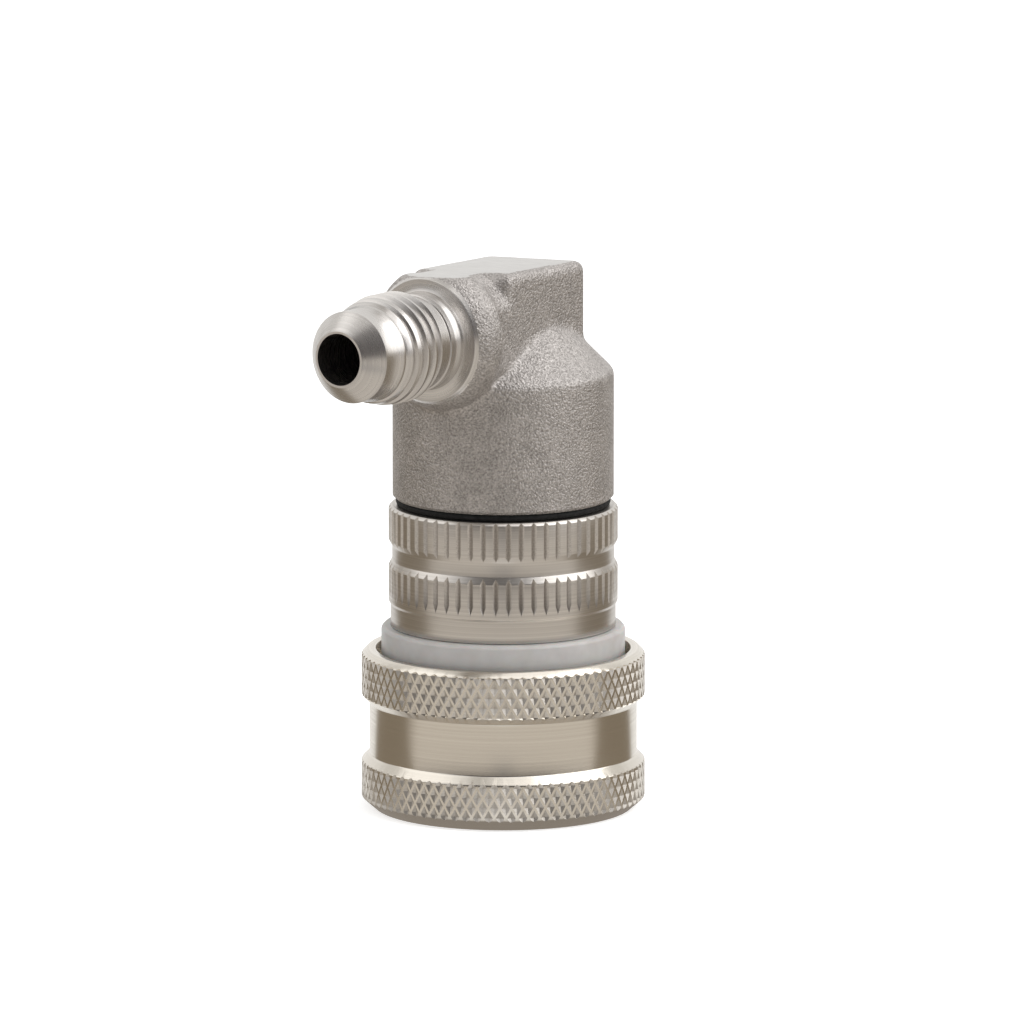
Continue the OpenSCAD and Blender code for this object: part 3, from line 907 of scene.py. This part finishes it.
def ground_steel():
    """The head's ground top: straight fine scratches across the block."""
    material, tree, shader = new_material("ground_steel", Metallic=1.0)
    stretch = tree.nodes.new("ShaderNodeMapping")
    stretch.inputs["Scale"].default_value = (0.04, 1, 1)
    stretch.inputs["Rotation"].default_value = (0, 0, math.radians(12))
    tree.links.new(object_coordinates(tree), stretch.inputs["Vector"])
    scratches = noise_node(tree, stretch.outputs[0], 9000.0, 3.0, 0.6)
    tree.links.new(
        colour_between(tree, scratches, [(0.3, (0.59, 0.58, 0.57)), (0.7, (0.71, 0.70, 0.69))]),
        shader.inputs["Base Color"],
    )
    tree.links.new(colour_between(tree, scratches, [(0.3, 0.46), (0.7, 0.36)]), shader.inputs["Roughness"])
    raised(tree, shader, scratches, 0.012)
    return material


def white_plastic():
    """Translucent white plastic with a faint cloud in it."""
    material, tree, shader = new_material(
        "white_plastic", Roughness=0.38, Subsurface_Weight=0.2, Subsurface_Scale=0.001,
    )
    vector = object_coordinates(tree)
    cloud = noise_node(tree, vector, 600.0, 2.0)
    tree.links.new(
        colour_between(tree, cloud, [(0.3, (0.475, 0.46, 0.445)), (0.7, (0.53, 0.515, 0.50))]),
        shader.inputs["Base Color"],
    )
    raised(tree, shader, noise_node(tree, vector, 5000.0), 0.004)
    return material


def seal_rubber():
    """Black rubber, matt."""
    material, tree, shader = new_material("seal_rubber", Roughness=0.7, Specular_IOR_Level=0.2)
    vector = object_coordinates(tree)
    cloud = noise_node(tree, vector, 2500.0)
    tree.links.new(colour_between(tree, cloud, [(0.3, 0.008), (0.7, 0.02)]), shader.inputs["Base Color"])
    raised(tree, shader, noise_node(tree, vector, 6000.0), 0.005)
    return material


# ---------------------------------------------------------------- studio

CAMERA_AZIMUTH = math.radians(35.9)
CAMERA_DISTANCE = 1.270
CAMERA_RISE = 0.211
CAMERA_PITCH = math.radians(10.28)
CAMERA_YAW = math.radians(-0.04)
SENSOR = 36.0
FOCAL_LENGTH = 450.4

# Tones that metal sees round the studio: behind the object, at its sides, in front of it and above; where
# the floor shows them to metal, they are painted light and painted shadow
BACK = (1.0, 0.99, 0.97)
# Dark at the sides; on the floor this is painted shadow of the object
SIDE = (0.27, 0.225, 0.17)
# Painted light on the floor in front of the object
FRONT = (0.70, 0.65, 0.585)
SHADE = (0.40, 0.385, 0.375)
SOFTBOX = (0.74, 0.72, 0.69)
CEILING = (0.46, 0.43, 0.40)
ROOM = (0.13, 0.12, 0.115)
# Painted contact shadow that metal sees on the floor round the foot
FOOT_SHADOW = (0.32, 0.29, 0.26)

# Their places on the floor, which metal sees as painted light and painted shadow: how far the painted light
# in front falls back at the sides, the white wedge behind the object, and the painted shade far out in front
# of it
FRONT_FALLS_BACK = 0.15
WEDGE_HALF_W = 22
WEDGE_WIDENS = 0.64
SHADE_HALF_W = 34
SHADE_FROM = 95


def component(tree, vector, direction):
    """How far a vector reaches along a direction."""
    dot = tree.nodes.new("ShaderNodeVectorMath")
    dot.operation = "DOT_PRODUCT"
    dot.inputs[1].default_value = direction
    tree.links.new(vector, dot.inputs[0])
    return dot.outputs["Value"]


def facing(tree, vector):
    """1 where a direction points to the camera, 0 where it points away, whatever its height."""
    flat = tree.nodes.new("ShaderNodeVectorMath")
    flat.operation = "MULTIPLY"
    flat.inputs[1].default_value = (1, 1, 0)
    tree.links.new(vector, flat.inputs[0])
    unit = tree.nodes.new("ShaderNodeVectorMath")
    unit.operation = "NORMALIZE"
    tree.links.new(flat.outputs[0], unit.inputs[0])
    to_camera = component(tree, unit.outputs[0], (math.sin(CAMERA_AZIMUTH), -math.cos(CAMERA_AZIMUTH), 0))
    return math_node(tree, "ADD", math_node(tree, "MULTIPLY", to_camera, 0.5), 0.5)


def edge_mask(tree, value, softness):
    """Rises from 0 to 1 as a length in metres grows from zero to the softness in millimetres."""
    return math_node(tree, "DIVIDE", value, softness * MM, clamp=True)


def painted_floor_light(tree):
    """The floor as metal sees it, in painted light and shade: painted light in front, painted shadow at both
    sides and under the foot, white behind.
    """
    position = tree.nodes.new("ShaderNodeTexCoord").outputs["Object"]
    along = component(tree, position, (math.sin(CAMERA_AZIMUTH), -math.cos(CAMERA_AZIMUTH), 0))
    across = component(tree, position, (math.cos(CAMERA_AZIMUTH), math.sin(CAMERA_AZIMUTH), 0))
    across = math_node(tree, "ABSOLUTE", across)
    in_front = math_node(tree, "SUBTRACT", along, math_node(tree, "MULTIPLY", across, FRONT_FALLS_BACK))
    narrowing = math_node(tree, "MULTIPLY", along, WEDGE_WIDENS)
    behind = math_node(tree, "SUBTRACT", WEDGE_HALF_W * MM, narrowing)
    behind = math_node(tree, "SUBTRACT", behind, across)
    shade = math_node(tree, "SUBTRACT", SHADE_HALF_W * MM, across)
    far = edge_mask(tree, math_node(tree, "SUBTRACT", along, SHADE_FROM * MM), 25)
    # Painted light in front, painted shadow at both sides, white behind, painted shade far out in front
    tones = mixed(tree, edge_mask(tree, in_front, 9), SIDE, FRONT)
    tones = mixed(tree, edge_mask(tree, behind, 6), tones, BACK)
    tones = mixed(tree, math_node(tree, "MULTIPLY", far, edge_mask(tree, shade, 14)), tones, SHADE)
    reach = tree.nodes.new("ShaderNodeVectorMath")
    reach.operation = "LENGTH"
    tree.links.new(position, reach.inputs[0])
    # Painted shadow of the object on the floor round its foot
    clear_of_foot = math_node(tree, "SUBTRACT", reach.outputs["Value"], COLLAR_R * MM)
    return mixed(tree, edge_mask(tree, clear_of_foot, 5), FOOT_SHADOW, tones)


def mixed(tree, factor, a, b):
    """A colour mixed from two by a factor, by its output."""
    node = tree.nodes.new("ShaderNodeMix")
    node.data_type = "RGBA"
    tree.links.new(factor, node.inputs["Factor"])
    colour_inputs = [socket for socket in node.inputs if socket.type == "RGBA"]
    for socket, value in zip(colour_inputs, (a, b)):
        if isinstance(value, tuple):
            socket.default_value = (*value, 1)
        else:
            tree.links.new(value, socket)
    return next(socket for socket in node.outputs if socket.type == "RGBA")


def floor():
    """A pale floor that keeps the object's shadow, near white to the camera, and glowing with painted light
    and painted shadow to metal.
    """
    bpy.ops.object.select_all(action="DESELECT")
    bpy.ops.mesh.primitive_circle_add(vertices=96, radius=4, fill_type="NGON")
    piece = added("floor")
    material, tree, shader = new_material("floor_white", Roughness=0.9, Base_Color=(0.8, 0.8, 0.8))
    shader.inputs["Specular IOR Level"].default_value = 0.0
    light = tree.nodes.new("ShaderNodeLightPath")
    # Metal sees this glow of painted light and painted shadow in place of the lit floor
    seen = tree.nodes.new("ShaderNodeEmission")
    tree.links.new(painted_floor_light(tree), seen.inputs["Color"])
    lift = tree.nodes.new("ShaderNodeEmission")
    lift.inputs["Color"].default_value = (1, 1, 1, 1)
    tree.links.new(math_node(tree, "MULTIPLY", light.outputs["Is Camera Ray"], 0.6), lift.inputs["Strength"])
    add = tree.nodes.new("ShaderNodeAddShader")
    tree.links.new(shader.outputs[0], add.inputs[0])
    tree.links.new(lift.outputs[0], add.inputs[1])
    mix = tree.nodes.new("ShaderNodeMixShader")
    tree.links.new(light.outputs["Is Glossy Ray"], mix.inputs[0])
    tree.links.new(add.outputs[0], mix.inputs[1])
    tree.links.new(seen.outputs[0], mix.inputs[2])
    tree.links.new(mix.outputs[0], tree.nodes["Material Output"].inputs["Surface"])
    piece.data.materials.append(material)


def studio_world():
    """Plain soft light all round, white to the camera, and the studio's tones to metal."""
    world = bpy.data.worlds.new("studio")
    bpy.context.scene.world = world
    world.use_nodes = True
    tree = world.node_tree
    background = tree.nodes["Background"]
    background.inputs["Color"].default_value = (1, 1, 1, 1)
    background.inputs["Strength"].default_value = 0.5
    direction = tree.nodes.new("ShaderNodeTexCoord").outputs["Generated"]
    to_camera = facing(tree, direction)
    split = tree.nodes.new("ShaderNodeSeparateXYZ")
    tree.links.new(direction, split.inputs[0])
    low_wall = colour_between(tree, to_camera, [
        (0.0, BACK), (0.10, BACK), (0.14, SIDE), (0.55, SIDE), (0.62, ROOM), (1.0, ROOM),
    ])
    high_wall = colour_between(tree, to_camera, [
        (0.0, BACK), (0.12, BACK), (0.2, SOFTBOX), (0.68, SOFTBOX), (0.78, ROOM), (1.0, ROOM),
    ])
    above_wall = colour_between(tree, split.outputs[2], [(0.16, 0.0), (0.28, 1.0)])
    ceiling = colour_between(tree, split.outputs[2], [(0.80, 0.0), (0.92, 1.0)])
    walls = mixed(tree, above_wall, low_wall, high_wall)
    to_left = component(tree, direction, (-math.cos(CAMERA_AZIMUTH), -math.sin(CAMERA_AZIMUTH), 0))
    on_left = colour_between(tree, to_left, [(0.05, 0.0), (0.2, 1.0)])
    tones = mixed(tree, ceiling, walls, mixed(tree, on_left, CEILING, SOFTBOX))
    seen = tree.nodes.new("ShaderNodeBackground")
    tree.links.new(tones, seen.inputs["Color"])
    white = tree.nodes.new("ShaderNodeBackground")
    light = tree.nodes.new("ShaderNodeLightPath")
    white.inputs["Color"].default_value = (1, 1, 1, 1)
    glossy_or_clear = math_node(
        tree, "MAXIMUM", light.outputs["Is Glossy Ray"], light.outputs["Is Transmission Ray"]
    )
    first = tree.nodes.new("ShaderNodeMixShader")
    tree.links.new(glossy_or_clear, first.inputs[0])
    tree.links.new(background.outputs[0], first.inputs[1])
    tree.links.new(seen.outputs[0], first.inputs[2])
    second = tree.nodes.new("ShaderNodeMixShader")
    tree.links.new(light.outputs["Is Camera Ray"], second.inputs[0])
    tree.links.new(first.outputs[0], second.inputs[1])
    tree.links.new(white.outputs[0], second.inputs[2])
    tree.links.new(second.outputs[0], tree.nodes["World Output"].inputs["Surface"])


def soft_light(name, azimuth, elevation, distance, size, power):
    """A square soft light that looks at the middle of the object, placed round from the camera."""
    target = Vector((0, 0, 0.03))
    turn = CAMERA_AZIMUTH + math.radians(azimuth)
    rise = math.radians(elevation)
    aim = Vector((math.sin(turn) * math.cos(rise), -math.cos(turn) * math.cos(rise), math.sin(rise)))
    light = bpy.data.lights.new(name, "AREA")
    light.shape = "SQUARE"
    light.size = size
    light.energy = power
    lamp = bpy.data.objects.new(name, light)
    lamp.location = target + aim * distance
    lamp.rotation_euler = aim.to_track_quat("Z", "Y").to_euler()
    bpy.context.collection.objects.link(lamp)


def camera():
    """A long lens that looks a little downwards, from between the outlet and the right-hand side."""
    data = bpy.data.cameras.new("camera")
    data.sensor_width = SENSOR
    data.lens = FOCAL_LENGTH
    data.clip_start = 0.05
    view = bpy.data.objects.new("camera", data)
    view.location = (
        CAMERA_DISTANCE * math.sin(CAMERA_AZIMUTH),
        -CAMERA_DISTANCE * math.cos(CAMERA_AZIMUTH),
        OUTLET_Z * MM + CAMERA_RISE,
    )
    view.rotation_euler = Euler((math.pi / 2 - CAMERA_PITCH, 0, CAMERA_AZIMUTH + CAMERA_YAW))
    bpy.context.collection.objects.link(view)
    bpy.context.scene.camera = view


# ---------------------------------------------------------------- assembly

camera()
floor()
studio_world()
soft_light("left_softbox", -75, 35, 0.9, 1.0, 2.0)
soft_light("right_softbox", 75, 35, 0.9, 1.0, 4.4)
soft_light("top_softbox", 60, 62, 0.9, 0.9, 2.2)
bpy.context.scene.view_settings.view_transform = "Standard"

marks = turning_marks_group()
cast = cast_steel(blasted_grain_group())
stub_steel = turned_steel("outlet_steel", marks, (0.54, 0.52, 0.505), (0.68, 0.66, 0.64), 0.27, 0.006, True)
barrel_steel = turned_steel("barrel_steel", marks, (0.52, 0.495, 0.465), (0.69, 0.66, 0.625), 0.3, 0.008)
# The knurl's pits: rougher steel, darker than the collar as painted shade
shaded_knurl_steel = turned_steel("shaded_knurl_steel", marks, (0.54, 0.51, 0.47), (0.66, 0.63, 0.59), 0.42, 0.004)
collar_steel = turned_steel("collar_steel", marks, (0.68, 0.64, 0.575), (0.73, 0.69, 0.625), 0.2, 0.002)
wire_steel = turned_steel("wire_steel", marks, (0.45, 0.45, 0.45), (0.55, 0.55, 0.55), 0.3, 0.004)
ball_steel = turned_steel("ball_steel", marks, (0.7, 0.7, 0.71), (0.75, 0.75, 0.76), 0.08, 0.001)
plastic = white_plastic()
rubber = seal_rubber()

placed(elbow_head(), "coupling_body", "elbow_head", "cast_steel", cast, stub_steel, ground_steel())
placed(barrel(), "coupling_body", "barrel", "turned_steel", barrel_steel)
placed(release_collar(), "collar", "release_collar", "collar_steel", collar_steel, shaded_knurl_steel)
placed(guide_ring(), "ring_set", "guide_ring", "white_plastic", plastic)
placed(head_seal(), "coupling_body", "head_seal", "seal_rubber", rubber)

for node, material in (("retaining_ring", wire_steel), ("poppet", barrel_steel), ("poppet_seal", rubber)):
    frame["nodes"][node].data.materials[0] = material
for ball in BALLS:
    frame["nodes"][ball].data.materials[0] = ball_steel

springs = (
    ("collar_spring", "ring_set", "collar_lift", high("collar_spring").z),
    ("poppet_spring", "coupling_body", "poppet_lift", high("poppet_spring").z),
)
for node, body, joint, fixed_end in springs:
    coil = merged_copy(node, node)
    smooth(coil, 60)
    coil.data.materials.clear()
    placed(coil, body, node, "spring_steel", wire_steel)
    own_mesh(coil)
